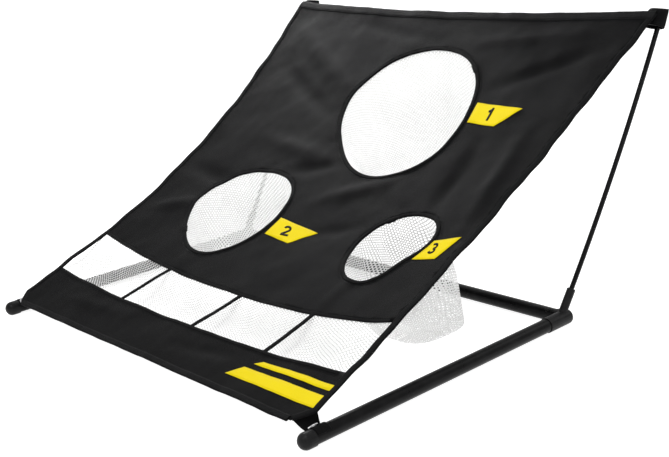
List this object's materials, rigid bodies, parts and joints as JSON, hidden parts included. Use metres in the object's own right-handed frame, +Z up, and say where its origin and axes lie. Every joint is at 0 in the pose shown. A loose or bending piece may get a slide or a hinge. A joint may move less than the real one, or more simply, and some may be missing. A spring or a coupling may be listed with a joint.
{
  "type": "golf chipping net",
  "caption": "Golf chipping net: a black target cloth with round holes, windows and white mesh pockets, tilted on a tube base with flexible rods.",
  "frame": {"origin": "on the ground under the middle of the bounding box", "axes": "+X to the right and +Y to the back for a player facing the low front edge of the cloth, +Z up"},
  "size_m": [0.89, 0.7985, 0.4646],
  "materials": {
    "tube_steel": "gloss black powder coat",
    "black_plastic": "satin moulded",
    "socket_plastic": "satin moulded",
    "rod_plastic": "smooth glass-fibre rod",
    "tip_rubber": "matte",
    "stud_metal": "polished",
    "button_metal": "gloss black",
    "grommet_metal": "polished",
    "black_cloth": "plain woven",
    "black_webbing": "ribbed binding",
    "white_mesh": "fine open mesh"
  },
  "bodies": {
    "back": {"back_tube": "tube_steel"},
    "left_side": {"side_tube_left": "tube_steel", "front_cap_left": "black_plastic", "corner_fitting_left": "black_plastic", "rod_socket_left": "socket_plastic", "corner_stud_left": "stud_metal"},
    "right_side": {"side_tube_right": "tube_steel", "front_cap_right": "black_plastic", "corner_fitting_right": "black_plastic", "rod_socket_right": "socket_plastic", "corner_stud_right": "stud_metal"},
    "left_rod": {"rod_left": "rod_plastic", "rod_tip_left": "tip_rubber"},
    "right_rod": {"rod_right": "rod_plastic", "rod_tip_right": "tip_rubber"},
    "left_button": {"snap_button_left": "button_metal"},
    "right_button": {"snap_button_right": "button_metal"},
    "cloth": {"target_panel": "black_cloth", "bottom_band": "black_cloth", "bottom_hem": "black_cloth", "top_hem": "black_cloth", "side_binding_left": "black_webbing", "side_binding_right": "black_webbing", "window_divider_1": "black_webbing", "window_divider_2": "black_webbing", "window_divider_3": "black_webbing", "hole_binding_1": "black_webbing", "hole_binding_2": "black_webbing", "hole_binding_3": "black_webbing", "pocket_net_1": "white_mesh", "pocket_net_2": "white_mesh", "pocket_net_3": "white_mesh", "window_net": "white_mesh", "rod_pocket_left": "black_webbing", "rod_pocket_right": "black_webbing", "corner_tab_left": "black_webbing", "corner_tab_right": "black_webbing", "grommet_left": "grommet_metal", "grommet_right": "grommet_metal"}
  },
  "joints": [
    {"name": "net_lift", "type": "slide", "parent": "back", "child": "cloth", "axis": [0, 0.4191, 0.908], "range_m": [0, 0.6]},
    {"name": "side_pull_left", "type": "slide", "parent": "back", "child": "left_side", "axis": [-1, 0, 0], "range_m": [0, 0.045]},
    {"name": "rod_pull_left", "type": "slide", "parent": "left_side", "child": "left_rod", "axis": [-0.0386, 0.5504, 0.834], "range_m": [0, 0.07]},
    {"name": "button_press_left", "type": "slide", "parent": "back", "child": "left_button", "axis": [0, 0.6428, -0.766], "range_m": [0, 0.0022], "stiffness_N_per_m": 300, "springref_m": -0.001},
    {"name": "side_pull_right", "type": "slide", "parent": "back", "child": "right_side", "axis": [1, 0, 0], "range_m": [0, 0.045]},
    {"name": "rod_pull_right", "type": "slide", "parent": "right_side", "child": "right_rod", "axis": [0.0386, 0.5504, 0.834], "range_m": [0, 0.07]},
    {"name": "button_press_right", "type": "slide", "parent": "back", "child": "right_button", "axis": [0, 0.6428, -0.766], "range_m": [0, 0.0022], "stiffness_N_per_m": 300, "springref_m": -0.001}
  ],
  "couplings": [
    {"joint": "side_pull_left", "follows": "net_lift", "ratio": 0.0749},
    {"joint": "rod_pull_left", "follows": "net_lift", "ratio": 0.1166},
    {"joint": "side_pull_right", "follows": "net_lift", "ratio": 0.0749},
    {"joint": "rod_pull_right", "follows": "net_lift", "ratio": 0.1166}
  ]
}
